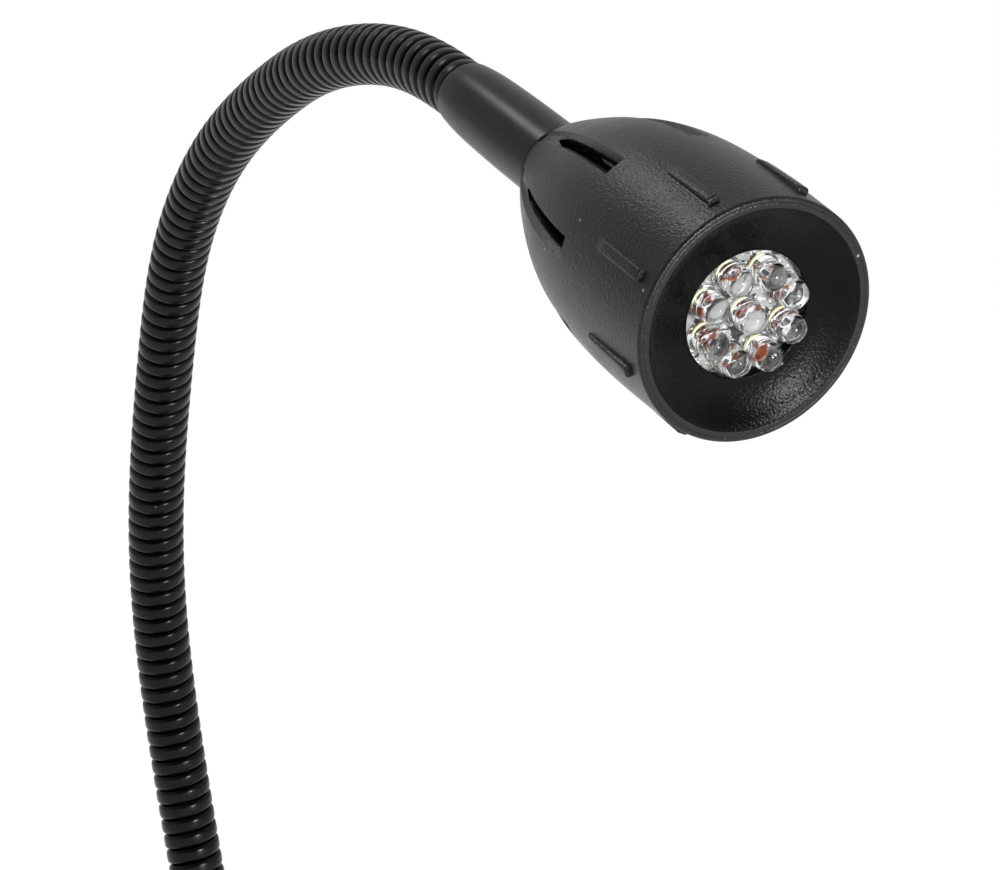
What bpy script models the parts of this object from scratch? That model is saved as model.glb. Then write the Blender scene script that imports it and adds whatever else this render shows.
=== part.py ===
"""Gooseneck LED examination lamp on a weighted round foot.

The lamp stands on z = 0 with the middle of its foot on the origin, +Z up, and
its head reaches out towards -Y. Lengths below are in millimetres and become
metres where objects are made.
"""

import math

import bmesh
import bpy
import numpy as np
from mathutils import Matrix, Vector

MM = 0.001
GAP = 0.3

# Head, measured along its own axis: 0 at the rim, minus towards the neck.
HEAD_CENTRE = (-15.4, -271.6, 303.6)
HEAD_DOWN_TILT = 16.9
HEAD_YAW = 6.8
RIM_RADIUS = 21.2
SHELL_WALL = 1.6
SHELL_BACK = -65.0
SHELL_BACK_RADIUS = 7.3
SHELL_HOLE_RADIUS = 5.6
BEZEL_RADIUS = 20.0
BEZEL_HOLE_RADIUS = 11.2
BEZEL_HOLE_FRONT = -2.4
BEZEL_BACK = -4.2
RIB_COUNT = 8
RIB_ANGLE = 25.0
RIB_FRONT = -3.8
RIB_BACK = -17.0
RIB_WIDTH = 2.0
RIB_HEIGHT = 1.0
VENT_ANGLE = 39.0
VENT_FRONT = -28.0
VENT_BACK = -54.0
VENT_WIDTH = 2.0
TROUGH_WIDTH = 4.6
TROUGH_DEPTH = 1.2

# LEDs
LED_RADIUS = 2.5
LED_FLANGE_RADIUS = 2.9
LED_DOME_CENTRE = -0.65
LED_BODY = 2.6
LED_FLANGE = 1.0
LED_RING = 8
LED_RING_RADIUS = 7.7
LED_RING_ANGLE = 30.0
BOARD_RADIUS = 17.4
BOARD_THICKNESS = 1.6
BOARD_SCREW_RING = 15.0

# Sleeve between neck and head, on the head's axis
SLEEVE_START = -98.5
SLEEVE_SHOULDER = SHELL_BACK - GAP
SLEEVE_THREAD_END = -53.5
SLEEVE_THREAD_RADIUS = 5.2
SLEEVE_BORE = 3.0
SLEEVE_SOCKET_DEPTH = 15.0

# Gooseneck
NECK_RADIUS = 5.4
NECK_GROOVE_RADIUS = 4.75
NECK_PITCH = 3.24
NECK_BORE = 2.6
NECK_PLUG_RADIUS = 4.6
NECK_SOCKET_RADIUS = 4.9
CUP_RADIUS = 5.0
NECK_PLUG_LENGTH = 13.5
NECK_STUB = 20.0
SEGMENTS = 9
BALL_SHOULDER = 1.1
CUP_RIM = 1.4
FOOT_NECK_BOTTOM = 30.0
FOOT_NECK_TOP = 46.0
NECK_BENDS = (
    (-2.0, 1.0, 100.0),
    (-10.5, 6.0, 167.5),
    (-21.0, -4.0, 223.5),
    (-27.5, -27.5, 267.5),
    (-30.5, -46.0, 293.0),
    (-31.5, -70.5, 313.0),
    (-31.5, -97.0, 325.5),
    (-31.0, -125.0, 334.0),
    (-28.5, -152.0, 336.5),
)

# Foot
FOOT_RADIUS = 80.0
FOOT_WALL = 2.4
FOOT_BOTTOM = 2.3
FOOT_SIDE_TOP = 14.0
FOOT_TOP = 24.0
FOOT_FLAT_RADIUS = 62.0
PAD_RADIUS = 76.0
PAD_THICKNESS = 2.0
PLATE_RADIUS = 77.2
PLATE_TOP = 5.3
WEIGHT_OUTER = 62.0
WEIGHT_INNER = 30.0
WEIGHT_BOTTOM = PLATE_TOP + GAP
WEIGHT_TOP = WEIGHT_BOTTOM + 10.0
BOSS_RING = 70.5
BOSS_RADIUS = 3.6
SCREW_ANGLES = (30.0, 150.0, 270.0)
CIRCUIT_BOTTOM = 10.0
CIRCUIT_TOP = 11.6
JACK_HEIGHT = 9.8
SWITCH_Y = -42.0
SWITCH_LENGTH = 21.0
SWITCH_WIDTH = 15.0
ROCKER_LENGTH = 15.4
ROCKER_WIDTH = 9.4
ROCKER_PIVOT = FOOT_TOP - 1.0
ROCKER_TILT = 7.0

FINE = 40
MEDIUM = 24
LED_SIDES = 14
SMALL = 12


# ---------------------------------------------------------------- helpers


def clear_scene():
    for obj in list(bpy.data.objects):
        bpy.data.objects.remove(obj, do_unlink=True)


def new_collection(name, hidden=False):
    found = bpy.data.collections.new(name)
    bpy.context.scene.collection.children.link(found)
    found.hide_render = hidden
    return found


def material(name, colour, roughness, metallic=0.0):
    made = bpy.data.materials.new(name)
    made.use_nodes = True
    shader = made.node_tree.nodes["Principled BSDF"]
    shader.inputs["Base Color"].default_value = (*colour, 1.0)
    shader.inputs["Roughness"].default_value = roughness
    shader.inputs["Metallic"].default_value = metallic
    return made


def evaluated_mesh(obj):
    """The mesh that an object's modifiers or bevel give, with its loose caps welded."""
    graph = bpy.context.evaluated_depsgraph_get()
    mesh = bpy.data.meshes.new_from_object(obj.evaluated_get(graph))
    shape = bmesh.new()
    shape.from_mesh(mesh)
    bmesh.ops.remove_doubles(shape, verts=shape.verts, dist=0.000002)
    shape.to_mesh(mesh)
    shape.free()
    return mesh


def finish(obj, sharp_angle=35.0):
    """Turns a curve or a stack of modifiers into a plain smooth-shaded mesh object."""
    mesh = evaluated_mesh(obj)
    mesh.name = obj.name
    if obj.type == "MESH":
        obj.modifiers.clear()
        obj.data = mesh
        made = obj
    else:
        name = obj.name
        made = bpy.data.objects.new(name + "_mesh", mesh)
        made.matrix_world = obj.matrix_world.copy()
        for home in obj.users_collection:
            home.objects.link(made)
        bpy.data.objects.remove(obj, do_unlink=True)
        made.name = name
    mesh.shade_smooth()
    mesh.set_sharp_from_angle(angle=math.radians(sharp_angle))
    return made


def place(obj, paint, parent=None, location=(0, 0, 0), rotation=(0, 0, 0)):
    """Gives an object its material, its place in millimetres and its parent."""
    obj.location = Vector(location) * MM
    obj.rotation_euler = [math.radians(angle) for angle in rotation]
    obj.parent = parent
    obj.data.materials.clear()
    obj.data.materials.append(paint)
    bpy.context.view_layer.update()
    return obj


def turned(name, profile, sides, home):
    """A turned solid. The (radius, height) profile runs down the outside and back up the inside."""
    shape = bmesh.new()
    points = [shape.verts.new((radius * MM, 0, height * MM)) for radius, height in profile]
    for lower, upper in zip(points, points[1:]):
        shape.edges.new((lower, upper))
    open_ended = profile[0][0] == 0 and profile[-1][0] == 0
    if not open_ended:
        shape.edges.new((points[-1], points[0]))
    mesh = bpy.data.meshes.new(name)
    shape.to_mesh(mesh)
    shape.free()
    obj = bpy.data.objects.new(name, mesh)
    home.objects.link(obj)
    screw = obj.modifiers.new("turn", "SCREW")
    screw.steps = screw.render_steps = sides
    screw.use_merge_vertices = True
    screw.merge_threshold = 0.000005
    return finish(obj)


def disc(radius, bottom, top):
    return [(0, top), (radius, top), (radius, bottom), (0, bottom)]


def ring(outer, inner, bottom, top):
    return [(outer, top), (outer, bottom), (inner, bottom), (inner, top)]


def box(name, size, home, bevel=0.0):
    shape = bmesh.new()
    bmesh.ops.create_cube(shape, size=1.0)
    bmesh.ops.scale(shape, vec=Vector(size) * MM, verts=shape.verts)
    mesh = bpy.data.meshes.new(name)
    shape.to_mesh(mesh)
    shape.free()
    obj = bpy.data.objects.new(name, mesh)
    home.objects.link(obj)
    if bevel:
        rounded = obj.modifiers.new("edges", "BEVEL")
        rounded.width = bevel * MM
        rounded.segments = 2
    return finish(obj)


def sphere(name, radius, home):
    shape = bmesh.new()
    bmesh.ops.create_uvsphere(shape, u_segments=SMALL, v_segments=8, radius=radius * MM)
    mesh = bpy.data.meshes.new(name)
    shape.to_mesh(mesh)
    shape.free()
    obj = bpy.data.objects.new(name, mesh)
    home.objects.link(obj)
    return obj


def outline(name, points, thickness, home):
    """A flat outline in XY, given a thickness that is centred on its plane."""
    curve = bpy.data.curves.new(name, "CURVE")
    curve.dimensions = "2D"
    curve.fill_mode = "BOTH"
    curve.extrude = thickness * MM / 2
    spline = curve.splines.new("POLY")
    spline.points.add(len(points) - 1)
    for point, (x, y) in zip(spline.points, points):
        point.co = (x * MM, y * MM, 0, 1)
    spline.use_cyclic_u = True
    obj = bpy.data.objects.new(name, curve)
    home.objects.link(obj)
    bpy.context.view_layer.update()
    return finish(obj)


def tube(name, points, radii, resolution, home):
    """A tube along points in millimetres, whose radius may change from point to point."""
    curve = bpy.data.curves.new(name, "CURVE")
    curve.dimensions = "3D"
    curve.bevel_depth = MM
    curve.bevel_resolution = resolution
    curve.use_fill_caps = True
    spline = curve.splines.new("POLY")
    spline.points.add(len(points) - 1)
    for point, place_mm, radius in zip(spline.points, points, radii):
        point.co = (*(Vector(place_mm) * MM), 1)
        point.radius = radius
    obj = bpy.data.objects.new(name, curve)
    home.objects.link(obj)
    bpy.context.view_layer.update()
    return finish(obj)


def as_cutter(obj):
    obj.hide_render = True
    obj.display_type = "WIRE"
    return obj


def carve(obj, cutters, operation="DIFFERENCE"):
    """Cuts each cutter from an object, or joins it on."""
    bpy.context.view_layer.update()
    for index, cutter in enumerate(cutters):
        as_cutter(cutter)
        change = obj.modifiers.new(f"{operation.lower()}_{index}", "BOOLEAN")
        change.operation = operation
        change.object = cutter
    return finish(obj)


def copies_around(make, count, first_angle):
    return [make(index, first_angle + index * 360.0 / count) for index in range(count)]


# ---------------------------------------------------------------- neck route


def smooth_route(points, per_span=40):
    """Points along the natural cubic curve through the given ones."""
    knots = np.array(points, float)
    steps = np.linalg.norm(np.diff(knots, axis=0), axis=1)
    count = len(knots)
    system = np.eye(count)
    slopes = np.zeros_like(knots)
    for row in range(1, count - 1):
        before, after = steps[row - 1], steps[row]
        system[row, row - 1 : row + 2] = before, 2 * (before + after), after
        change = (knots[row + 1] - knots[row]) / after - (knots[row] - knots[row - 1]) / before
        slopes[row] = 6 * change
    bends = np.linalg.solve(system, slopes)
    found = [knots[0]]
    for span, length in enumerate(steps):
        for share in np.linspace(0, 1, per_span + 1)[1:]:
            rest = 1 - share
            straight = rest * knots[span] + share * knots[span + 1]
            lift = (rest**3 - rest) * bends[span] + (share**3 - share) * bends[span + 1]
            found.append(straight + lift * length**2 / 6)
    return np.array(found)


class Route:
    """A curve read by its length in millimetres from its first point."""

    def __init__(self, points):
        self.points = smooth_route(points)
        steps = np.linalg.norm(np.diff(self.points, axis=0), axis=1)
        self.lengths = np.concatenate([[0.0], np.cumsum(steps)])

    def at(self, length):
        return Vector([np.interp(length, self.lengths, self.points[:, axis]) for axis in range(3)])

    def length_to(self, point):
        nearest = np.argmin(np.linalg.norm(self.points - np.array(point), axis=1))
        return float(self.lengths[nearest])


def head_aim():
    """The turn that points local +Z out of the lamp's rim."""
    turn = Matrix.Rotation(math.radians(HEAD_YAW), 4, "Z")
    return turn @ Matrix.Rotation(math.radians(90.0 + HEAD_DOWN_TILT), 4, "X")


def on_head_axis(height):
    return tuple(Vector(HEAD_CENTRE) + head_aim() @ Vector((0, 0, height)))


def on_foot_axis(height):
    return (0.0, 0.0, height)


FOOT_POINTS = [on_foot_axis(z) for z in (FOOT_NECK_BOTTOM, FOOT_NECK_BOTTOM + 8.0, FOOT_NECK_TOP)]
HEAD_POINTS = [on_head_axis(SLEEVE_START + along) for along in (0.0, 7.0, NECK_PLUG_LENGTH + 0.5)]
NECK = Route(FOOT_POINTS + list(NECK_BENDS) + HEAD_POINTS)
NECK_START = NECK.length_to(FOOT_POINTS[-1])
NECK_END = NECK.length_to(HEAD_POINTS[0])
JOINT_STEP = (NECK_END - NECK_START - 2 * NECK_STUB) / SEGMENTS
JOINTS = [NECK_START + NECK_STUB + index * JOINT_STEP for index in range(SEGMENTS + 1)]


def ribs_between(start, end):
    """(length, radius) rings of the coil, from crest to groove and back every pitch."""
    half = NECK_PITCH / 2
    turns = int((end - start) / half)
    turns -= turns % 2
    lengths = np.linspace(start, end, turns + 1)
    return [(at, NECK_GROOVE_RADIUS if index % 2 else NECK_RADIUS) for index, at in enumerate(lengths)]


def ball_end(joint):
    """Rings of the ball that closes a segment, from its shoulder to its open top."""
    rings = [(joint - BALL_SHOULDER + 0.15, NECK_PLUG_RADIUS)]
    for angle in (0, 26, 51):
        turn = math.radians(angle)
        rings.append((joint + NECK_PLUG_RADIUS * math.sin(turn), NECK_PLUG_RADIUS * math.cos(turn)))
    return rings


def neck_piece(name, rings, paint, home, cutters, cup=None):
    route = [NECK.at(length) for length, _ in rings]
    body = tube(name, route, [radius for _, radius in rings], 3, home)
    start, end = rings[0][0] - 2, rings[-1][0] + 2
    spots = np.linspace(start, end, max(3, int((end - start) / 5)))
    bore_route = [NECK.at(length) for length in spots]
    if start < 0:
        bore_route[0] = NECK.at(0) - Vector((0, 0, 2))
    tools = [tube(name + "_bore", bore_route, [NECK_BORE] * len(spots), 1, cutters)]
    if cup is not None:
        cut = sphere(name + "_cup", CUP_RADIUS, cutters)
        cut.location = NECK.at(cup) * MM
        tools.append(cut)
    return place(carve(body, tools), paint)


def neck_parts(paint, home, cutters):
    root = [(1.0, NECK_PLUG_RADIUS), (NECK_START - 0.15, NECK_PLUG_RADIUS)]
    root += ribs_between(NECK_START + GAP, JOINTS[0] - BALL_SHOULDER) + ball_end(JOINTS[0])
    neck_piece("neck_root", root, paint, home, cutters)
    for index in range(SEGMENTS):
        lower, upper = JOINTS[index], JOINTS[index + 1]
        rings = ribs_between(lower + CUP_RIM, upper - BALL_SHOULDER) + ball_end(upper)
        neck_piece(f"neck_segment_{index + 1}", rings, paint, home, cutters, cup=lower)
    tip = ribs_between(JOINTS[-1] + CUP_RIM, NECK_END - GAP)
    tip += [(NECK_END - 0.1, NECK_PLUG_RADIUS), (NECK_END + NECK_PLUG_LENGTH, NECK_PLUG_RADIUS)]
    neck_piece("neck_tip", tip, paint, home, cutters, cup=JOINTS[-1])


# ---------------------------------------------------------------- head


def shell_outside():
    """(radius, height) points down the outside of the bell-shaped head shell."""
    lip = 0.5
    points = [(RIM_RADIUS - lip, 0.0), (RIM_RADIUS - 0.15, -0.15), (RIM_RADIUS, -lip)]
    points += [(21.3, -12.0), (20.8, -25.4), (19.85, -33.5), (18.4, -40.2), (16.6, -46.0)]
    points += [(14.3, -51.8), (11.7, -57.5), (9.4, -61.8), (SHELL_BACK_RADIUS, SHELL_BACK)]
    return points


def shell_inside():
    """(radius, height) points up the inside of the head shell, from its back hole to its rim."""
    floor = SHELL_BACK + SHELL_WALL + 0.4
    points = [(SHELL_HOLE_RADIUS, SHELL_BACK), (SHELL_HOLE_RADIUS, floor), (8.2, floor)]
    points += [(9.3, -57.3), (11.7, -51.5), (14.0, -45.7), (15.9, -39.8), (17.4, -33.2)]
    points += [(18.4, -25.3), (19.2, -12.0), (20.3, -11.0), (20.3, -0.2)]
    return points


def radius_at(height):
    outside = shell_outside()[2:]
    heights = [-point[1] for point in outside]
    return float(np.interp(-height, heights, [point[0] for point in outside]))


def vent_cutters(index, angle, cutters):
    """A trough that follows the shell to its back edge, and the slot through its floor."""
    heights = np.linspace(VENT_FRONT, SHELL_BACK - 1.0, 5)
    floor = [(radius_at(height) - TROUGH_DEPTH, height) for height in heights]
    outer = RIM_RADIUS + 3.0
    side = floor + [(outer, heights[-1]), (outer, VENT_FRONT)]
    trough = outline(f"trough_{index}", side, TROUGH_WIDTH, cutters)
    middle, length = (VENT_FRONT + VENT_BACK) / 2, VENT_FRONT - VENT_BACK
    slot = box(f"vent_{index}", (outer - 9.0, length, VENT_WIDTH), cutters)
    turn = Matrix.Rotation(math.radians(angle), 4, "Z") @ Matrix.Rotation(math.radians(90), 4, "X")
    trough.matrix_world = turn
    slot.matrix_world = turn @ Matrix.Translation(Vector(((outer + 9.0) / 2, middle, 0)) * MM)
    return [trough, slot]


def rib_bar(index, angle, cutters):
    """One raised grip rib, sunk a little into the shell so that it joins it."""
    sink = 0.8
    length = RIB_FRONT - RIB_BACK
    bar = box(f"rib_{index}", (RIB_HEIGHT + sink, RIB_WIDTH, length), cutters, bevel=0.5)
    middle = (RIB_FRONT + RIB_BACK) / 2
    out = Vector((radius_at(middle) + (RIB_HEIGHT - sink) / 2, 0, middle)) * MM
    bar.matrix_world = Matrix.Rotation(math.radians(angle), 4, "Z") @ Matrix.Translation(out)
    return bar


def head_shell(paint, axis, home, cutters):
    shell = turned("head_shell", shell_outside() + shell_inside(), FINE, home)
    ribs = copies_around(lambda i, a: rib_bar(i, a, cutters), RIB_COUNT, RIB_ANGLE)
    shell = carve(shell, ribs, "UNION")
    vents = copies_around(lambda i, a: vent_cutters(i, a, cutters), RIB_COUNT, VENT_ANGLE)
    shell = carve(shell, [tool for pair in vents for tool in pair])
    place(shell, paint, axis)


def bezel_profile():
    """The dished black ring around the LEDs, with a skirt that clips inside the shell."""
    depth = BEZEL_HOLE_FRONT + 0.4
    front = []
    for step in range(5):
        share = step / 4
        radius = BEZEL_HOLE_RADIUS + (BEZEL_RADIUS - 0.4 - BEZEL_HOLE_RADIUS) * share
        front.append((radius, BEZEL_HOLE_FRONT - depth * share**1.6))
    skirt = [(BEZEL_RADIUS, -0.8), (BEZEL_RADIUS, -10.0), (18.6, -10.0), (18.6, BEZEL_BACK)]
    return front + skirt + [(BEZEL_HOLE_RADIUS, BEZEL_BACK)]


def board_screw_spots():
    return [(BOARD_SCREW_RING * math.cos(math.radians(a)), BOARD_SCREW_RING * math.sin(math.radians(a)))
            for a in (8.0, 188.0)]


def led_spots():
    spots = [(0.0, 0.0)]
    for index in range(LED_RING):
        turn = math.radians(LED_RING_ANGLE + index * 360.0 / LED_RING)
        spots.append((LED_RING_RADIUS * math.cos(turn), LED_RING_RADIUS * math.sin(turn)))
    return spots


def led_profile():
    dome = []
    for angle in (90, 60, 30, 0):
        turn = math.radians(angle)
        radius = 0.0 if angle == 90 else LED_RADIUS * math.cos(turn)
        dome.append((radius, LED_DOME_CENTRE + LED_RADIUS * math.sin(turn)))
    seat = LED_DOME_CENTRE - LED_BODY
    back = seat - LED_FLANGE
    body = [(LED_RADIUS, seat), (LED_FLANGE_RADIUS, seat), (LED_FLANGE_RADIUS, back), (0.0, back)]
    return dome + body


def led_parts(paints, axis, home, cutters):
    first = turned("led_1", led_profile(), LED_SIDES, home)
    place(first, paints["clear"], axis)
    for number, (x, y) in enumerate(led_spots(), start=1):
        led = first
        if number > 1:
            led = bpy.data.objects.new(f"led_{number}", first.data)
            home.objects.link(led)
            place(led, paints["clear"], axis, (x, y, 0))
    front = LED_DOME_CENTRE - LED_BODY - LED_FLANGE - GAP
    back = front - BOARD_THICKNESS
    board = turned("led_board", disc(BOARD_RADIUS, back, front), MEDIUM, home)
    holes = []
    for x, y in board_screw_spots():
        hole = turned("board_hole", disc(1.2, back - 2, BEZEL_BACK + 2), SMALL, cutters)
        hole.location = Vector((x, y, 0)) * MM
        holes.append(hole)
    place(carve(board, holes), paints["board"], axis)
    bezel = turned("bezel", bezel_profile(), FINE, home)
    place(carve(bezel, holes), paints["black"], axis)
    for number, (x, y) in enumerate(board_screw_spots(), start=1):
        under = back - GAP
        profile = [(0, BEZEL_BACK + 1.5), (0.9, BEZEL_BACK + 1.5), (0.9, under), (1.9, under)]
        profile += [(1.9, under - 1.2), (0, under - 1.2)]
        screw = turned(f"board_screw_{number}", profile, SMALL, home)
        place(screw, paints["steel"], axis, (x, y, 0))
    for number, x in enumerate((-6.0, 0.0, 6.0), start=1):
        chip = box(f"resistor_{number}", (1.6, 3.2, 0.7), home)
        place(chip, paints["black"], axis, (x, 5.0, back - GAP - 0.35))
    return back


def sleeve_profile():
    """A tapered sleeve: thread and shoulder at the front, a socket for the neck at the back."""
    outside = [(SLEEVE_THREAD_RADIUS, SLEEVE_THREAD_END), (SLEEVE_THREAD_RADIUS, SLEEVE_SHOULDER)]
    outside += [(6.9, SLEEVE_SHOULDER), (6.85, -72.0), (6.75, -80.5), (6.6, -87.0), (6.4, -92.0)]
    outside += [(6.15, -95.3), (5.9, -97.5), (5.6, SLEEVE_START)]
    socket_end = SLEEVE_START + SLEEVE_SOCKET_DEPTH
    inside = [(NECK_SOCKET_RADIUS, SLEEVE_START), (NECK_SOCKET_RADIUS, socket_end)]
    inside += [(SLEEVE_BORE, socket_end), (SLEEVE_BORE, SLEEVE_THREAD_END)]
    return outside + inside


def hex_nut(name, across, bore, thickness, home, cutters):
    corners = []
    for index in range(6):
        turn = math.radians(60.0 * index)
        corners.append((across * math.cos(turn), across * math.sin(turn)))
    nut = outline(name, corners, thickness, home)
    hole = turned(name + "_hole", disc(bore, -thickness, thickness), MEDIUM, cutters)
    return carve(nut, [hole])


def lead(name, points, radius, paint, home, parent=None):
    route = smooth_route(points, per_span=3)
    wire = tube(name, [Vector(point) for point in route], [radius] * len(route), 2, home)
    return place(wire, paint, parent)


def head_parts(paints, home, cutters):
    axis = bpy.data.objects.new("head_axis", None)
    home.objects.link(axis)
    axis.matrix_world = Matrix.Translation(Vector(HEAD_CENTRE) * MM) @ head_aim()
    bpy.context.view_layer.update()
    head_shell(paints["black"], axis, home, cutters)
    back = led_parts(paints, axis, home, cutters)
    sleeve = turned("sleeve", sleeve_profile(), MEDIUM, home)
    place(sleeve, paints["satin"], axis)
    nut = hex_nut("sleeve_nut", 7.9, SLEEVE_THREAD_RADIUS + GAP, 4.0, home, cutters)
    place(nut, paints["steel"], axis, (0, 0, SHELL_BACK + SHELL_WALL + 0.4 + GAP + 2.0))
    for name, side in (("red", 1.0), ("black", -1.0)):
        points = [(6 * side, -6, back - 0.4), (6 * side, -6, back - 6), (4 * side, -3, -25)]
        points += [(1.2 * side, 0, -48), (1.2 * side, 0, -70), (1.2 * side, 0, SLEEVE_START + 17)]
        lead(f"head_lead_{name}", points, 0.6, paints[name], home, axis)


# ---------------------------------------------------------------- foot


def cover_profile():
    side = FOOT_RADIUS
    outside = [(7.0, FOOT_TOP), (FOOT_FLAT_RADIUS, FOOT_TOP)]
    inside = []
    for angle in (62, 32, 0):
        turn = math.radians(angle)
        reach, rise = side - FOOT_FLAT_RADIUS, FOOT_TOP - FOOT_SIDE_TOP
        outside.append((FOOT_FLAT_RADIUS + reach * math.cos(turn), FOOT_SIDE_TOP + rise * math.sin(turn)))
        inner_reach, inner_rise = reach - FOOT_WALL, rise - FOOT_WALL
        inside.append((FOOT_FLAT_RADIUS + inner_reach * math.cos(turn),
                       FOOT_SIDE_TOP + inner_rise * math.sin(turn)))
    outside.append((side, FOOT_BOTTOM))
    inside = [(side - FOOT_WALL, FOOT_BOTTOM)] + inside[::-1]
    inside += [(FOOT_FLAT_RADIUS, FOOT_TOP - FOOT_WALL), (7.0, FOOT_TOP - FOOT_WALL)]
    return outside + inside


def around_foot(radius, angle):
    turn = math.radians(angle)
    return radius * math.cos(turn), radius * math.sin(turn)


def cover_parts(paints, home, cutters):
    cover = turned("foot_cover", cover_profile(), FINE, home)
    bosses, pilots = [], []
    for angle in SCREW_ANGLES:
        x, y = around_foot(BOSS_RING, angle)
        boss = turned("boss", disc(BOSS_RADIUS, PLATE_TOP + GAP, FOOT_SIDE_TOP + 5.0), SMALL, cutters)
        pilot = turned("pilot", disc(1.5, PLATE_TOP - 1, 13.0), SMALL, cutters)
        for tool in (boss, pilot):
            tool.location = Vector((x, y, 0)) * MM
        pilot.rotation_euler.z = math.radians(angle + 11.0)
        bosses.append(boss)
        pilots.append(pilot)
    cover = carve(cover, bosses, "UNION")
    window = box("switch_window", (SWITCH_LENGTH - 1.4, SWITCH_WIDTH - 1.4, 8.0), cutters)
    window.location = Vector((0, SWITCH_Y, FOOT_TOP)) * MM
    port = turned("jack_port", disc(4.4, -8, 8), MEDIUM, cutters)
    port.location = Vector((0, FOOT_RADIUS, JACK_HEIGHT)) * MM
    port.rotation_euler.x = math.radians(90)
    place(carve(cover, pilots + [window, port]), paints["black"])

    plate = turned("foot_plate", disc(PLATE_RADIUS, FOOT_BOTTOM, PLATE_TOP), FINE, home)
    holes = []
    for number, angle in enumerate(SCREW_ANGLES, start=1):
        x, y = around_foot(BOSS_RING, angle)
        profile = [(0, PLATE_TOP + 1), (1.7, PLATE_TOP + 1), (1.7, 4.1), (3.2, 4.1), (3.2, 1.0), (0, 1.0)]
        hole = turned("plate_hole", profile, SMALL, cutters)
        hole.location = Vector((x, y, 0)) * MM
        holes.append(hole)
        profile = [(0, 11.5), (1.2, 11.5), (1.2, 3.8), (2.8, 3.8), (2.8, 2.6), (0, 2.6)]
        place(turned(f"foot_screw_{number}", profile, SMALL, home), paints["steel"], None, (x, y, 0))
    place(carve(plate, holes), paints["plate"])
    place(turned("foot_pad", disc(PAD_RADIUS, 0.0, PAD_THICKNESS), FINE, home), paints["rubber"])

    weight = turned("foot_weight", ring(WEIGHT_OUTER, WEIGHT_INNER, WEIGHT_BOTTOM, WEIGHT_TOP), FINE, home)
    bay = box("switch_bay", (SWITCH_LENGTH + 6, SWITCH_WIDTH + 6, 30), cutters)
    bay.location = Vector((0, SWITCH_Y, 12)) * MM
    passage = box("wire_passage", (12, 60, 30), cutters)
    passage.location = Vector((0, 45, 12)) * MM
    place(carve(weight, [bay, passage]), paints["iron"])


def collar_parts(paints, home, cutters):
    """The turned collar that grips the neck, and the nut that clamps it to the cover."""
    foot = FOOT_TOP + GAP
    profile = [(8.0, FOOT_NECK_TOP), (8.4, FOOT_NECK_TOP - 0.5), (9.0, foot + 8), (10.5, foot + 4)]
    profile += [(13.0, foot + 2.5), (13.4, foot + 1.8), (13.4, foot), (6.6, foot), (6.6, 15.5)]
    profile += [(SLEEVE_BORE, 15.5), (SLEEVE_BORE, FOOT_NECK_BOTTOM), (NECK_SOCKET_RADIUS, FOOT_NECK_BOTTOM)]
    profile += [(NECK_SOCKET_RADIUS, FOOT_NECK_TOP)]
    place(turned("neck_collar", profile, MEDIUM, home), paints["satin"])
    nut = hex_nut("collar_nut", 11.0, 6.6 + GAP, 3.5, home, cutters)
    place(nut, paints["steel"], None, (0, 0, FOOT_TOP - FOOT_WALL - GAP - 1.75))


def circuit_parts(paints, home):
    middle = (CIRCUIT_BOTTOM + CIRCUIT_TOP) / 2
    circuit = box("driver_board", (36, 24, CIRCUIT_TOP - CIRCUIT_BOTTOM), home)
    place(circuit, paints["board"], None, (0, 0, middle))
    for number, x in enumerate((-14.0, 14.0), start=1):
        post = turned(f"board_post_{number}", disc(2.2, PLATE_TOP + GAP, CIRCUIT_BOTTOM - GAP), SMALL, home)
        place(post, paints["satin"], None, (x, 0, 0))
    base = CIRCUIT_TOP + GAP
    capacitor = turned("driver_capacitor", disc(2.5, base, base + 5.5), SMALL, home)
    place(capacitor, paints["satin"], None, (14.5, 7, 0))
    coil = [(3.6, base + 4), (3.6, base + 3.2), (2.4, base + 2.9), (2.4, base + 1.1), (3.6, base + 0.8)]
    coil += [(3.6, base), (0, base)]
    place(turned("driver_coil", [(0, base + 4)] + coil, SMALL, home), paints["iron"], None, (-14, 7, 0))
    for name, side in (("red", 1.0), ("black", -1.0)):
        points = [(3.5 * side, -3, CIRCUIT_TOP + 0.4), (3.0 * side, -2, 13.2), (1.3 * side, 0, 17)]
        points += [(1.2 * side, 0, 23), (1.2 * side, 0, 29.5)]
        lead(f"foot_lead_{name}", points, 0.6, paints[name], home)


def jack_parts(paints, home, cutters):
    body = box("inlet_jack", (9, 13, 8.6), home, bevel=0.3)
    body.location = Vector((0, 70.0, JACK_HEIGHT)) * MM
    nose = turned("jack_nose", disc(4.0, -10.4, 1.5), MEDIUM, cutters)
    nose.location = Vector((0, FOOT_RADIUS - 10.3, JACK_HEIGHT)) * MM
    nose.rotation_euler.x = math.radians(90)
    bpy.context.view_layer.update()
    body = carve(body, [nose], "UNION")
    bore = turned("jack_bore", disc(2.9, -12.0, 1.0), MEDIUM, cutters)
    bore.location = Vector((0, FOOT_RADIUS - 8.5, JACK_HEIGHT)) * MM
    bore.rotation_euler.x = math.radians(90)
    place(carve(body, [bore]), paints["black"], None, (0, 70.0, JACK_HEIGHT))
    pin = turned("inlet_pin", [(0, 8.0), (0.6, 8.0), (1.0, 7.4), (1.0, 0), (0, 0)], SMALL, home)
    place(pin, paints["steel"], None, (0, FOOT_RADIUS - 9.5 + GAP, JACK_HEIGHT), (-90, 0, 0))


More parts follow.
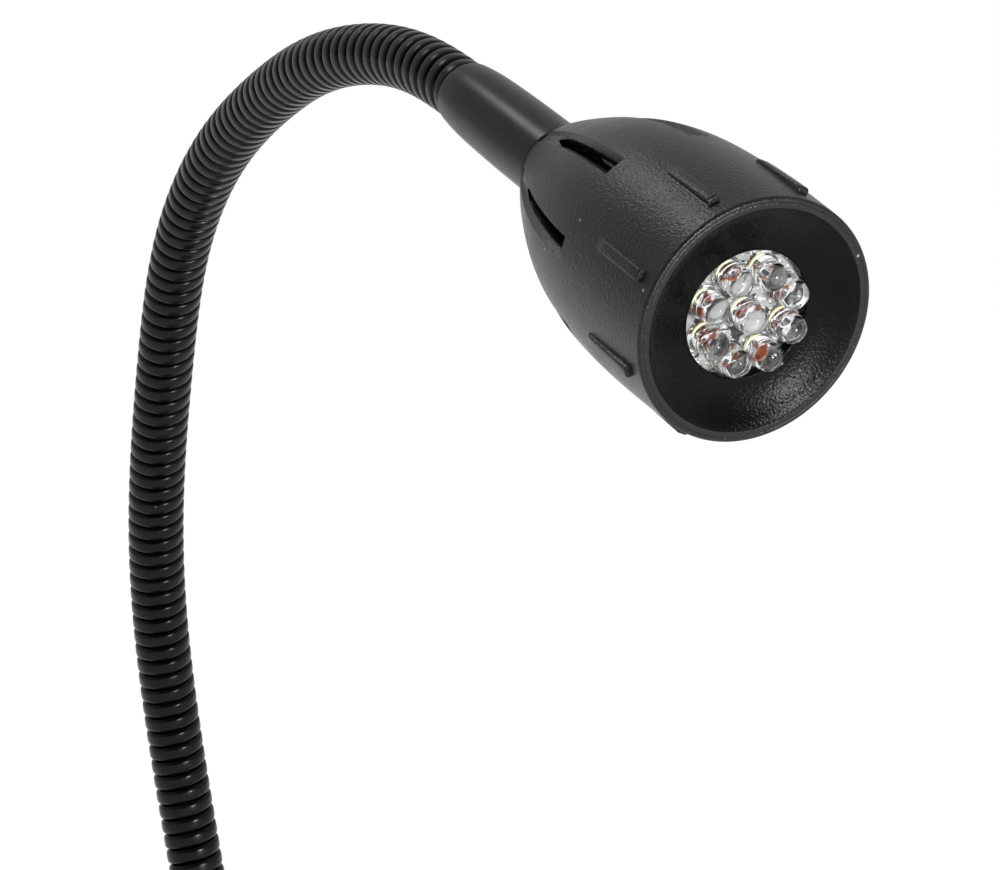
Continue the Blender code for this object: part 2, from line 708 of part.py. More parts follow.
def switch_parts(paints, home, cutters):
    height = 12.0
    top = FOOT_TOP + GAP
    frame = box("switch_frame", (SWITCH_LENGTH, SWITCH_WIDTH, 1.6), home, bevel=0.4)
    frame.location = Vector((0, SWITCH_Y, top + 0.8)) * MM
    body = box("switch_body", (SWITCH_LENGTH - 2.0, SWITCH_WIDTH - 2.0, height), cutters)
    body.location = Vector((0, SWITCH_Y, top + 0.8 - height / 2)) * MM
    well = box("switch_well", (ROCKER_LENGTH + 1.2, ROCKER_WIDTH + 0.8, height), cutters)
    well.location = Vector((0, SWITCH_Y, top + 3.0 - height / 2 + 0.5)) * MM
    frame = carve(frame, [body], "UNION")
    place(carve(frame, [well]), paints["black"], None, (0, SWITCH_Y, top + 0.8))

    pivot = bpy.data.objects.new("rocker_pivot", None)
    pivot.location = Vector((0, SWITCH_Y, ROCKER_PIVOT)) * MM
    home.objects.link(pivot)
    half = ROCKER_LENGTH / 2
    rise = half * math.tan(math.radians(ROCKER_TILT))
    side = [(-half, 2.6 + rise), (-half, -0.8), (-2.0, -3.6), (2.0, -3.6), (half, -0.8), (half, 2.6 + rise)]
    side += [(0.0, 2.6)]
    rocker = outline("switch_rocker", side, ROCKER_WIDTH, home)
    place(rocker, paints["black"], pivot, (0, 0, 0), (90, -ROCKER_TILT, 0))


def build():
    clear_scene()
    home = new_collection("examination_lamp")
    cutters = new_collection("cutters", hidden=True)
    paints = {
        "black": material("grained_black_plastic", (0.035, 0.036, 0.038), 0.42),
        "satin": material("satin_black", (0.03, 0.03, 0.032), 0.35),
        "neck": material("gooseneck_black", (0.022, 0.022, 0.025), 0.38),
        "clear": material("clear_epoxy", (0.86, 0.87, 0.88), 0.05),
        "board": material("white_circuit_board", (0.75, 0.76, 0.74), 0.4),
        "steel": material("zinc_plated_steel", (0.6, 0.61, 0.62), 0.3, 1.0),
        "plate": material("pressed_steel", (0.42, 0.43, 0.44), 0.45, 1.0),
        "iron": material("cast_iron", (0.12, 0.12, 0.12), 0.7, 0.9),
        "rubber": material("pad_rubber", (0.02, 0.02, 0.02), 0.9),
        "red": material("red_lead", (0.5, 0.02, 0.02), 0.45),
    }
    head_parts(paints, home, cutters)
    neck_parts(paints["neck"], home, cutters)
    collar_parts(paints, home, cutters)
    cover_parts(paints, home, cutters)
    circuit_parts(paints, home)
    jack_parts(paints, home, cutters)
    switch_parts(paints, home, cutters)


build()
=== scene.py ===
import math

import bmesh
import bpy
import numpy as np
from mathutils import Matrix, Vector


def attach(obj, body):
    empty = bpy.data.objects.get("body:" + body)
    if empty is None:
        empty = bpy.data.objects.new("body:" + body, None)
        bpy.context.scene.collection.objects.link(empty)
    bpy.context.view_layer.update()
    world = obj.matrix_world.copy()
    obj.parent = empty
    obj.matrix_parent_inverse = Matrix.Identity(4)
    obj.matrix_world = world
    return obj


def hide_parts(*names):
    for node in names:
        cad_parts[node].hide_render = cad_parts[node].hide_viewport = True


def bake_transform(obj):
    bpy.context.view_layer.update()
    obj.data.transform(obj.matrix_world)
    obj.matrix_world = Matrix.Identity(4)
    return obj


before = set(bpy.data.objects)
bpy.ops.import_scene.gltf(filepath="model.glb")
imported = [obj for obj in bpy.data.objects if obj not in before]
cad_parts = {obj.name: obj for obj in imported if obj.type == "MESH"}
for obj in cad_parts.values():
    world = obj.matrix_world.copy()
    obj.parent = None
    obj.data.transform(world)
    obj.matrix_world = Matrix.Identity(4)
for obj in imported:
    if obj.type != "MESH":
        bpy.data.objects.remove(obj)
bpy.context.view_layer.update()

# Lengths are in millimetres until a mesh is made. A head piece is drawn on the
# head's own axis: 0 at the rim, minus towards the neck.
MM = 0.001
HEAD_CENTRE = (-15.4, -271.6, 303.6)
HEAD_DOWN_TILT = 16.9
HEAD_YAW = 6.8
HEAD = (
    Matrix.Translation(Vector(HEAD_CENTRE) * MM)
    @ Matrix.Rotation(math.radians(HEAD_YAW), 4, "Z")
    @ Matrix.Rotation(math.radians(90 + HEAD_DOWN_TILT), 4, "X")
)
SLEEVE_START = -98.5
SHELL_BACK = -65.0


# ---------------------------------------------------------------- camera

VIEW_TURN = 22.5
VIEW_DROP = 8.0
VIEW_CENTRE = Vector((-0.052, -0.254, 0.285))
VIEW_DISTANCE = 1.1
LENS_LENGTH = 248.4


def view_direction():
    turn, drop = math.radians(VIEW_TURN), math.radians(VIEW_DROP)
    flat = math.cos(drop)
    return Vector((flat * math.sin(turn), flat * math.cos(turn), -math.sin(drop)))


def aim(obj, place, direction):
    obj.location = place
    obj.rotation_euler = direction.to_track_quat("-Z", "Y").to_euler()


def make_camera():
    lens = bpy.data.cameras.new("studio_camera")
    lens.sensor_width = 36.0
    lens.lens = LENS_LENGTH
    lens.clip_start = 0.01
    lens.clip_end = 50.0
    camera = bpy.data.objects.new("studio_camera", lens)
    bpy.context.scene.collection.objects.link(camera)
    aim(camera, VIEW_CENTRE - VIEW_DISTANCE * view_direction(), view_direction())
    bpy.context.scene.camera = camera


# ---------------------------------------------------------------- materials


class Value:
    """A node's output. Arithmetic on it adds Math nodes."""

    def __init__(self, nodes, socket):
        self.nodes = nodes
        self.socket = socket

    def maths(self, operation, first, second):
        return self.nodes.node("ShaderNodeMath", {"operation": operation}, {0: first, 1: second})

    def __add__(self, other):
        return self.maths("ADD", self, other)

    def __radd__(self, other):
        return self.maths("ADD", other, self)

    def __sub__(self, other):
        return self.maths("SUBTRACT", self, other)

    def __rsub__(self, other):
        return self.maths("SUBTRACT", other, self)

    def __mul__(self, other):
        return self.maths("MULTIPLY", self, other)

    def __rmul__(self, other):
        return self.maths("MULTIPLY", other, self)

    def __gt__(self, other):
        return self.maths("GREATER_THAN", self, other)

    def __lt__(self, other):
        return self.maths("LESS_THAN", self, other)


class Nodes:
    """A tree of shader nodes and the one way its nodes are made."""

    def __init__(self, tree):
        self.tree = tree

    def node(self, kind, settings=None, inputs=None, out=0):
        made = self.tree.nodes.new(kind)
        for name, value in (settings or {}).items():
            setattr(made, name, value)
        for key, value in (inputs or {}).items():
            self.feed(made.inputs[key], value)
        return Value(self, made.outputs[out])

    def feed(self, socket, value):
        if isinstance(value, Value):
            self.tree.links.new(value.socket, socket)
        else:
            socket.default_value = value

    def between(self, value, low, high, new_low=0.0, new_high=1.0):
        """Eases value from new_low to new_high while it goes from low to high."""
        inputs = {"Value": value, 1: low, 2: high, 3: new_low, 4: new_high}
        return self.node("ShaderNodeMapRange", {"interpolation_type": "SMOOTHSTEP"}, inputs)


class Paint(Nodes):
    """One material and its Principled shader."""

    def __init__(self, name, **uniform):
        self.material = bpy.data.materials.new(name)
        self.material.use_nodes = True
        super().__init__(self.material.node_tree)
        self.shader = self.tree.nodes["Principled BSDF"]
        for socket, value in uniform.items():
            self.shader.inputs[socket.replace("_", " ")].default_value = value

    def surface(self, **varying):
        for name, value in varying.items():
            self.feed(self.shader.inputs[name.replace("_", " ")], value)
        return self

    def place(self):
        return self.node("ShaderNodeTexCoord", out="Object")

    def noise(self, size, detail=2.0, rough=0.5, place=None, warp=0.0):
        """Soft clouds whose features are about size millimetres wide."""
        inputs = {"Vector": place or self.place(), "Scale": 1000.0 / size, "Detail": detail}
        inputs.update({"Roughness": rough, "Distortion": warp})
        return self.node("ShaderNodeTexNoise", None, inputs)

    def cells(self, size, feature="F1", out="Distance", place=None):
        """Random cells about size millimetres wide."""
        inputs = {"Vector": place or self.place(), "Scale": 1000.0 / size}
        return self.node("ShaderNodeTexVoronoi", {"feature": feature}, inputs, out=out)

    def blend(self, share, first, second):
        """A colour between two others."""
        settings = {"data_type": "RGBA"}
        inputs = {0: share, 6: self.colour(first), 7: self.colour(second)}
        return self.node("ShaderNodeMix", settings, inputs, out=2)

    @staticmethod
    def colour(value):
        return value if isinstance(value, Value) else (*value, 1.0)

    def bump(self, height, depth, strength=1.0, under=None):
        """A normal whose relief is depth millimetres deep."""
        inputs = {"Height": height, "Distance": depth * MM, "Strength": strength}
        if under is not None:
            inputs["Normal"] = under
        return self.node("ShaderNodeBump", None, inputs)

    def dust(self, share=0.035, size=9.0):
        """A mask of a few tiny specks."""
        near = self.cells(size)
        pick = self.cells(size, out="Color")
        chosen = self.node("ShaderNodeSeparateColor", None, {0: pick})
        return (near < share) * (chosen > 0.55)

    def end(self, normal=None):
        if normal is not None:
            self.feed(self.shader.inputs["Normal"], normal)
        return self.material


def leather_grain(paint, depth):
    """The fine hide-like grain that a textured mould leaves."""
    worms = paint.noise(0.4, detail=2.0, rough=0.55, warp=0.35)
    pebbles = paint.cells(0.55, feature="SMOOTH_F1")
    swell = paint.noise(9.0, detail=1.0)
    height = worms * 0.8 + pebbles * 0.55
    return paint.bump(height + swell * 0.6, depth)


def grained_plastic(name, shade, depth, roughness, shine=0.5):
    """Textured black moulding with faint scuffs, uneven polish and a little dust."""
    paint = Paint(name, Specular_IOR_Level=shine)
    scuffs = paint.between(paint.noise(14.0, detail=4.0, rough=0.6), 0.35, 0.75)
    fine = paint.noise(0.5, detail=1.0)
    base = paint.blend(scuffs * 0.7 + fine * 0.3, shade, [value * 1.7 + 0.002 for value in shade])
    dusty = paint.blend(paint.dust(), base, (0.22, 0.22, 0.21))
    paint.surface(Base_Color=dusty, Roughness=roughness - 0.05 + scuffs * 0.08 + fine * 0.05)
    return paint.end(leather_grain(paint, depth))


def satin_plastic():
    """The smoother black of the sleeve and the collar."""
    paint = Paint("satin_black_plastic", Specular_IOR_Level=0.22)
    streaks = paint.noise(6.0, detail=5.0, rough=0.65, warp=0.4)
    specks = paint.dust(0.03, 7.0)
    base = paint.blend(streaks, (0.004, 0.004, 0.0042), (0.009, 0.009, 0.0095))
    dusty = paint.blend(specks, base, (0.3, 0.3, 0.29))
    paint.surface(Base_Color=dusty, Roughness=0.22 + streaks * 0.12)
    waves = paint.noise(3.5, detail=3.0)
    return paint.end(paint.bump(waves + paint.noise(0.6, detail=1.0) * 0.12, 0.025))


def gooseneck_coat():
    """Black coating on the wound steel neck, rubbed a little on the crests."""
    paint = Paint("gooseneck_black_coat", Specular_IOR_Level=0.16)
    wear = paint.between(paint.noise(4.0, detail=5.0, rough=0.7), 0.45, 0.8)
    base = paint.blend(wear, (0.001, 0.001, 0.0012), (0.004, 0.004, 0.0043))
    dusty = paint.blend(paint.dust(0.03, 6.0), base, (0.12, 0.12, 0.115))
    paint.surface(Base_Color=dusty, Roughness=0.24 + wear * 0.12)
    height = paint.noise(1.6, detail=4.0, rough=0.6)
    return paint.end(paint.bump(height, 0.03))


def clear_epoxy():
    """The water-clear casting of an LED, a little wavy inside."""
    paint = Paint("clear_epoxy", IOR=1.5, Transmission_Weight=1.0)
    clouds = paint.noise(1.6, detail=2.0)
    paint.surface(
        Base_Color=paint.blend(clouds, (0.90, 0.91, 0.93), (0.98, 0.98, 0.98)),
        Roughness=0.02 + clouds * 0.03,
    )
    return paint.end(paint.bump(paint.noise(2.2, detail=1.0), 0.05))


def painted_glow_edge():
    """A painted glow: pale yellow-green light given off along an LED's flange, standing for light
    caught there.
    """
    paint = Paint("painted_glow_yellow_green_edge", Emission_Strength=0.35)
    shift = paint.noise(1.2)
    tint = paint.blend(shift, (0.62, 0.78, 0.30), (0.86, 0.93, 0.66))
    paint.surface(Base_Color=tint, Emission_Color=tint, Roughness=0.25 + shift * 0.1)
    return paint.end(paint.bump(shift, 0.01))


def bright_frame():
    """Silver-plated lead frame, with bronze patches painted in at random for a reddish-brown
    reflection.
    """
    paint = Paint("silver_lead_frame")
    # Painted reflection: bronze patches in place of a reddish-brown reflection.
    painted_reflection_patches = paint.between(paint.noise(0.9, detail=3.0), 0.46, 0.56)
    tint = paint.blend(painted_reflection_patches, (0.86, 0.87, 0.88), (0.33, 0.10, 0.05))
    paint.surface(Base_Color=tint, Metallic=1.0 - painted_reflection_patches * 0.6, Roughness=0.18 + painted_reflection_patches * 0.25)
    return paint.end(paint.bump(paint.noise(0.4), 0.01))


def plated_steel(name, tint, roughness):
    """Zinc-plated or pressed steel with a fine mottled bloom."""
    paint = Paint(name)
    bloom = paint.noise(2.5, detail=5.0, rough=0.7)
    paint.surface(
        Base_Color=paint.blend(bloom, tint, [value * 0.6 for value in tint]),
        Metallic=1.0 - bloom * 0.1,
        Roughness=roughness + bloom * 0.2,
    )
    return paint.end(paint.bump(paint.noise(0.5, detail=3.0), 0.01))


def cast_iron():
    """Rough grey casting."""
    paint = Paint("cast_iron")
    sand = paint.noise(0.9, detail=6.0, rough=0.7)
    tint = paint.blend(sand, (0.07, 0.07, 0.075), (0.19, 0.18, 0.17))
    paint.surface(Base_Color=tint, Metallic=0.6 + sand * 0.3, Roughness=0.6 + sand * 0.3)
    return paint.end(paint.bump(sand, 0.15))


def pad_rubber():
    """Soft black rubber with a fine stipple and a dusty bloom."""
    paint = Paint("pad_rubber", Specular_IOR_Level=0.4)
    bloom = paint.between(paint.noise(11.0, detail=5.0, rough=0.7), 0.4, 0.8)
    tint = paint.blend(bloom, (0.012, 0.012, 0.012), (0.045, 0.044, 0.042))
    paint.surface(Base_Color=tint, Roughness=0.72 + bloom * 0.2)
    return paint.end(paint.bump(paint.cells(0.7), 0.06))


def circuit_board():
    """Pale solder mask with bright tinned pads and dark gaps."""
    paint = Paint("white_circuit_board")
    pads = paint.between(paint.noise(1.5, detail=1.0, warp=1.2), 0.50, 0.54)
    gaps = paint.between(paint.noise(2.1, detail=0.0, warp=0.8), 0.58, 0.62)
    tint = paint.blend(pads, (0.38, 0.39, 0.38), (0.80, 0.80, 0.79))
    tint = paint.blend(gaps, tint, (0.03, 0.03, 0.028))
    paint.surface(Base_Color=tint, Metallic=pads * (1 - gaps), Roughness=0.34 - pads * 0.14)
    return paint.end(paint.bump(pads + paint.noise(0.6), 0.08))


def insulation(name, shade):
    """Soft lead insulation, slightly handled."""
    paint = Paint(name)
    grime = paint.noise(1.5, detail=4.0)
    tint = paint.blend(grime, shade, [value * 0.6 for value in shade])
    paint.surface(Base_Color=tint, Roughness=0.4 + grime * 0.2)
    return paint.end(paint.bump(grime, 0.02))


def make_paints():
    return {
        "shell": grained_plastic("grained_black_shell", (0.004, 0.0042, 0.0048), 0.11, 0.31, 0.3),
        "bezel": grained_plastic("grained_black_bezel", (0.0006, 0.0006, 0.0007), 0.08, 0.25, 0.09),
        "cover": grained_plastic("grained_black_cover", (0.006, 0.0062, 0.0066), 0.05, 0.42),
        "fitting": grained_plastic("plain_black_fitting", (0.008, 0.008, 0.008), 0.010, 0.36),
        "satin": satin_plastic(),
        "neck": gooseneck_coat(),
        "clear": clear_epoxy(),
        "glow": painted_glow_edge(),
        "frame": bright_frame(),
        "steel": plated_steel("zinc_plated_steel", (0.62, 0.63, 0.64), 0.25),
        "plate": plated_steel("pressed_steel", (0.42, 0.43, 0.44), 0.4),
        "iron": cast_iron(),
        "rubber": pad_rubber(),
        "board": circuit_board(),
        "red": insulation("red_insulation", (0.5, 0.02, 0.02)),
        "black": insulation("black_insulation", (0.02, 0.02, 0.02)),
    }


# ---------------------------------------------------------------- meshes


def smooth_route(points, per_span=40):
    """Points along the natural cubic curve through the given ones."""
    knots = np.array(points, float)
    steps = np.linalg.norm(np.diff(knots, axis=0), axis=1)
    count = len(knots)
    system = np.eye(count)
    slopes = np.zeros_like(knots)
    for row in range(1, count - 1):
        before, after = steps[row - 1], steps[row]
        system[row, row - 1 : row + 2] = before, 2 * (before + after), after
        change = (knots[row + 1] - knots[row]) / after - (knots[row] - knots[row - 1]) / before
        slopes[row] = 6 * change
    bends = np.linalg.solve(system, slopes)
    found = [knots[0]]
    for span, length in enumerate(steps):
        for share in np.linspace(0, 1, per_span + 1)[1:]:
            rest = 1 - share
            straight = rest * knots[span] + share * knots[span + 1]
            lift = (rest**3 - rest) * bends[span] + (share**3 - share) * bends[span + 1]
            found.append(straight + lift * length**2 / 6)
    return np.array(found)


def piece(name, points, faces, paint, sharp=40.0, place=None):
    """A smooth-shaded mesh object from points in millimetres, with outward faces."""
    mesh = bpy.data.meshes.new(name)
    mesh.from_pydata([tuple(point) for point in np.asarray(points, float) * MM], [], faces)
    shape = bmesh.new()
    shape.from_mesh(mesh)
    bmesh.ops.recalc_face_normals(shape, faces=shape.faces)
    shape.to_mesh(mesh)
    shape.free()
    mesh.shade_smooth()
    mesh.set_sharp_from_angle(angle=math.radians(sharp))
    mesh.materials.append(paint)
    obj = bpy.data.objects.new(name, mesh)
    bpy.context.scene.collection.objects.link(obj)
    if place is not None:
        obj.matrix_world = place
    return obj


def rounded(profile, radius, steps=4):
    """A profile whose inner corners are rounded off, each by at most radius millimetres."""
    points = [np.array(point, float) for point in profile]
    found = [points[0]]
    for before, corner, after in zip(points, points[1:], points[2:]):
        to_before, to_after = before - corner, after - corner
        reach = min(radius, 0.45 * np.linalg.norm(to_before), 0.45 * np.linalg.norm(to_after))
        start = corner + to_before / np.linalg.norm(to_before) * reach
        stop = corner + to_after / np.linalg.norm(to_after) * reach
        for share in np.linspace(0, 1, steps + 1):
            rest = 1 - share
            found.append(rest**2 * start + 2 * rest * share * corner + share**2 * stop)
    return found + [points[-1]]


def turned(name, profile, sides, paint, place=None, closed=False, sharp=40.0):
    """A turned solid. An open profile starts and ends on the axis, and a closed one is a ring."""
    spots = [np.array(point, float) for point in profile]
    angles = np.linspace(0, 2 * math.pi, sides, endpoint=False)
    points, rows = [], []
    for radius, height in spots:
        if radius < 1e-6:
            rows.append([len(points)] * sides)
            points.append((0, 0, height))
        else:
            rows.append(list(range(len(points), len(points) + sides)))
            points += [(radius * math.cos(a), radius * math.sin(a), height) for a in angles]
    if closed:
        rows.append(rows[0])
    faces = []
    for lower, upper in zip(rows, rows[1:]):
        for here in range(sides):
            there = (here + 1) % sides
            corners = [lower[here], lower[there], upper[there], upper[here]]
            face = list(dict.fromkeys(corners))
            if len(face) > 2:
                faces.append(face)
    return piece(name, points, faces, paint, sharp, place)


def bar(name, size, middle, paint, edge=0.3, steps=3, place=None):
    """A block with rounded edges."""
    shape = bmesh.new()
    bmesh.ops.create_cube(shape, size=1.0)
    bmesh.ops.scale(shape, vec=Vector(size), verts=shape.verts)
    settings = {"offset": edge, "segments": steps, "profile": 0.5, "affect": "EDGES"}
    bmesh.ops.bevel(shape, geom=shape.edges, **settings)
    bmesh.ops.translate(shape, vec=Vector(middle), verts=shape.verts)
    points = [tuple(vertex.co) for vertex in shape.verts]
    faces = [[vertex.index for vertex in face.verts] for face in shape.faces]
    shape.free()
    return piece(name, points, faces, paint, 30.0, place)


def cut(obj, tools, operation="DIFFERENCE", sharp=35.0):
    """Cuts other pieces from this one, or joins them on, and removes them."""
    for tool in tools:
        change = obj.modifiers.new("change", "BOOLEAN")
        change.operation = operation
        change.object = tool
        bpy.context.view_layer.update()
        graph = bpy.context.evaluated_depsgraph_get()
        mesh = bpy.data.meshes.new_from_object(obj.evaluated_get(graph))
        obj.modifiers.clear()
        obj.data = mesh
        bpy.data.objects.remove(tool, do_unlink=True)
    obj.data.shade_smooth()
    obj.data.set_sharp_from_angle(angle=math.radians(sharp))
    return obj


def joined(name, parts):
    """Several loose pieces made one."""
    points, faces = [], []
    for part in parts:
        first = len(points)
        points += [tuple((part.matrix_world @ vertex.co) / MM) for vertex in part.data.vertices]
        faces += [[first + corner for corner in face.vertices] for face in part.data.polygons]
        paint = part.data.materials[0]
        bpy.data.objects.remove(part, do_unlink=True)
    return piece(name, points, faces, paint)


# ---------------------------------------------------------------- head shell

RIM_RADIUS = 21.2
# Height and radius down the outside of the housing, and down its inside.
SHELL_OUTSIDE = (
    (-0.5, 21.2), (-12.0, 21.3), (-25.4, 20.8), (-33.5, 19.85), (-40.2, 18.4), (-46.0, 16.6),
    (-51.8, 14.3), (-57.5, 11.7), (-61.8, 9.4), (-65.0, 7.3),
)
SHELL_INSIDE = (
    (-1.2, 20.3), (-11.0, 20.3), (-12.0, 19.2), (-25.3, 18.4), (-33.2, 17.4), (-39.8, 15.9),
    (-45.7, 14.0), (-51.5, 11.7), (-57.3, 9.3), (-63.0, 8.2),
)
# Radius and height over the lip at the rim.
LIP = (
    (20.3, -1.0), (20.31, -0.07), (20.38, -0.02), (20.55, 0.0), (20.78, -0.02), (21.0, -0.12),
    (21.13, -0.28),
)
# Heights between which the housing has an inner wall, and the hole in its back.
INSIDE_FRONT = -0.8
INSIDE_BACK = -62.9
BACK_HOLE_RADIUS = 5.6
BACK_HOLE_FRONT = -63.2
SECTORS = 8
SECTOR = 360.0 / SECTORS
FLUTE_TURN = 39.0
RIB_TURN = -14.0
RIB_HEIGHT = 1.0
# Behind the ribs their columns close up and drift round, to make room for the flutes.
DRIFT_FRONT = -19.0
DRIFT_BACK = -27.0
# The last row ahead of the flutes, their front edge, and the front of the slots.
FLUTE_LEAD = -27.95
FLUTE_FRONT = -28.0
SLOT_FRONT = -28.05
SLOT_HALF = 1.0
SLOT_END = -54.0

# Across a rib: millimetres from its middle, and share of its height.
RIB_ACROSS = (
    (-1.45, 0.0), (-1.2, 0.0), (-1.04, 0.05), (-1.0, 0.62), (-0.93, 0.84), (-0.82, 0.95),
    (-0.65, 1.0), (0.0, 1.0), (0.65, 1.0), (0.82, 0.95), (0.93, 0.84), (1.0, 0.62),
    (1.04, 0.05), (1.2, 0.0), (1.45, 0.0),
)
# Along a rib: millimetres from the rim, and share of its height.
RIB_ALONG = (
    (-3.3, 0.0), (-3.7, 0.0), (-3.8, 0.06), (-3.83, 0.62), (-3.9, 0.86), (-4.03, 0.97),
    (-4.25, 1.0), (-7.5, 0.9), (-11.0, 0.78), (-14.0, 0.68), (-16.0, 0.6), (-16.6, 0.54),
    (-16.9, 0.4), (-17.05, 0.08), (-17.2, 0.0),
)
FLUTE_DEPTHS = ((FLUTE_FRONT, 1.45), (-40.0, 1.3), (-50.0, 1.0), (-58.0, 0.6), (-65.0, 0.35))
FLUTE_SLOPE = 0.7
FLUTE_EDGE = 0.16


def clamped(value, low=0.0):
    return min(1.0, max(low, value))


def level(table, height):
    """A value from a table of (height, value) rows whose heights fall."""
    return float(np.interp(-height, [-row[0] for row in table], [row[1] for row in table]))


def fine_table(table):
    """The same table with twelve rows in each step, along a smooth curve."""
    curve = smooth_route([(*row, 0.0) for row in table], 12)
    return [(float(row[0]), float(row[1])) for row in curve]


def shell_heights():
    """The heights of the shell's rows, close together wherever the surface turns."""
    front = [-0.45, -0.8, -1.4, -2.4] + [row[0] for row in RIB_ALONG]
    middle = list(np.linspace(DRIFT_FRONT, DRIFT_BACK, 6))
    middle += [-27.6, -27.85, FLUTE_LEAD, FLUTE_FRONT, SLOT_FRONT]
    slot = list(np.linspace(-28.6, SLOT_END + 4.0, 18))
    slot += list(np.linspace(SLOT_END + 3.2, SLOT_END, 6))
    back = list(np.linspace(SLOT_END - 1.0, SHELL_BACK + 2.4, 8)) + [-63.4, -64.2, SHELL_BACK]
    return front + middle + slot + back


def shell_columns(height, radius):
    """Angles in degrees from the middle of a flute, with what each column stands for."""
    share = clamped((DRIFT_FRONT - height) / (DRIFT_FRONT - DRIFT_BACK))
    share = share * share * (3 - 2 * share)
    depth = level(FLUTE_DEPTHS, height)
    half = SLOT_HALF + depth * FLUTE_SLOPE
    slot = SLOT_HALF * clamped((height - SLOT_END + 0.8) / 4.0, 0.3)
    reach = math.degrees((half + 0.5) / radius)
    rib_start = RIB_TURN - 4.5 - share * 2.2
    rib_middle = RIB_TURN - 4.0 * share
    columns = [(angle, 0.0, None) for angle in np.linspace(-SECTOR / 2, rib_start, 5)[:-1]]
    squeeze = math.degrees(1 / RIM_RADIUS) * (1 - 0.45 * share)
    columns += [(rib_middle + across * squeeze, rise, None) for across, rise in RIB_ACROSS]
    columns += [(angle, 0.0, None) for angle in np.linspace(columns[-1][0], -reach, 5)[1:-1]]
    spots = [half + 0.5, half + 0.2, half + 0.02, half - FLUTE_EDGE]
    spots += [(half + slot) / 2 + 0.1, slot + 0.12, slot]
    sides = [-spot for spot in spots] + [0.0] + spots[::-1]
    for spot in sides:
        sink = depth * clamped((half - abs(spot)) / (half - SLOT_HALF))
        columns.append((math.degrees(spot / radius), 0.0, (sink, abs(spot) <= slot + 1e-6)))
    columns += [(angle, 0.0, None) for angle in np.linspace(reach, SECTOR / 2, 8)[1:-1]]
    return columns


def head_shell(paint):
    """The bell-shaped housing: grip ribs, V-shaped flutes and the open slots in their floors."""
    outside = fine_table(SHELL_OUTSIDE)
    heights = shell_heights()
    rings, slots = [], []
    for height in heights:
        radius = level(outside, height)
        ribbed = RIB_ALONG[-1][0] <= height <= RIB_ALONG[0][0]
        rib = RIB_HEIGHT * level(RIB_ALONG, height) if ribbed else 0.0
        fluted = clamped((FLUTE_FRONT - height) / 0.05 + 0.06) if height <= FLUTE_LEAD else 0.0
        ring, open_here = [], []
        for sector in range(SECTORS):
            for angle, rise, flute in shell_columns(height, radius):
                sink, in_slot = flute or (0.0, False)
                turn = math.radians(FLUTE_TURN + SECTOR * sector + angle)
                out = radius + rise * rib - sink * fluted
                ring.append((turn, out, height))
                open_here.append(in_slot)
        rings.append(ring)
        slots.append(open_here)
    count = len(rings[0])
    turns = [[spot[0] for spot in ring] for ring in rings]

    inner_heights = [height for height in heights if INSIDE_BACK <= height <= INSIDE_FRONT]
    first_inner = heights.index(inner_heights[0])
    loops = []
    for row in range(first_inner + len(inner_heights) - 1, first_inner - 1, -1):
        radius = level(SHELL_INSIDE, heights[row])
        loops.append([(turn, radius, heights[row]) for turn in turns[row]])
    for radius, height in LIP:
        loops.append([(turn, radius, height) for turn in turns[0]])
    first_outer = len(loops)
    loops += rings
    for height in (SHELL_BACK, BACK_HOLE_FRONT):
        loops.append([(turn, BACK_HOLE_RADIUS, height) for turn in turns[-1]])

    points = [(out * math.cos(t), out * math.sin(t), z) for loop in loops for t, out, z in loop]
    outer_row = {row: first_outer + row for row in range(len(heights))}
    inner_row = {first_inner + k: len(inner_heights) - 1 - k for k in range(len(inner_heights))}

    def corner(loop, column):
        return loop % len(loops) * count + column % count

    slot_rows = [row for row, z in enumerate(heights) if SLOT_END - 1e-6 <= z <= SLOT_FRONT]
    first_slot, last_slot = slot_rows[0], slot_rows[-1]
    holes = set()
    for row in range(first_slot, last_slot):
        for column in range(count):
            if slots[row][column] and slots[row][(column + 1) % count]:
                holes.add((row, column))
    skipped = {(outer_row[row], column) for row, column in holes}
    skipped |= {(inner_row[row + 1], column) for row, column in holes}
    faces = []

    def add_face(*corners):
        faces.append([corner(loop, column) for loop, column in corners])

    for loop in range(len(loops)):
        for column in range(count):
            if (loop, column) not in skipped:
                add_face((loop, column), (loop, column + 1),
                         (loop + 1, column + 1), (loop + 1, column))
    for row, column in holes:
        for edge, beside in ((column, (row, column - 1)), (column + 1, (row, column + 1))):
            if beside not in holes:
                add_face((outer_row[row], edge), (outer_row[row + 1], edge),
                         (inner_row[row + 1], edge), (inner_row[row], edge))
        for edge, beside in ((row, (row - 1, column)), (row + 1, (row + 1, column))):
            if beside not in holes:
                add_face((outer_row[edge], column), (outer_row[edge], column + 1),
                         (inner_row[edge], column + 1), (inner_row[edge], column))
    shell = piece("head_housing", points, faces, paint, 48.0, HEAD)
    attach(shell, "head")
    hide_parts("head_shell")


# ---------------------------------------------------------------- rest of the head

LIP_INNER = 19.2
DISH_RADIUS = 18.2
DISH_WIDTH = 7.0
DISH_FRONT = -0.46
DISH_DEPTH = 2.2
LED_RADIUS = 2.5
LED_FLANGE_RADIUS = 2.9
LED_DOME_CENTRE = -0.65
LED_SEAT = -3.25
LED_BACK = -4.25
LED_RING_RADIUS = 7.7
LED_RING_TURN = 30.0
# The painted glow crescent on each LED, on the same side of every one: its middle and half its span
# in degrees, and its radius.
GLOW_MIDDLE = 136.0
GLOW_HALF = 42.0
GLOW_RADIUS = 2.72
GLOW_STEPS = 24
# How far each LED leans, in degrees about its own X and Y, as hand-soldered ones do.
LED_LEANS = (
    (1.0, -1.5), (-1.5, 2.0), (1.5, 1.0), (0.5, -2.0), (-2.0, -1.0), (2.5, 1.5), (0.0, 2.0),
    (-1.0, 0.5), (1.0, 1.0),
)


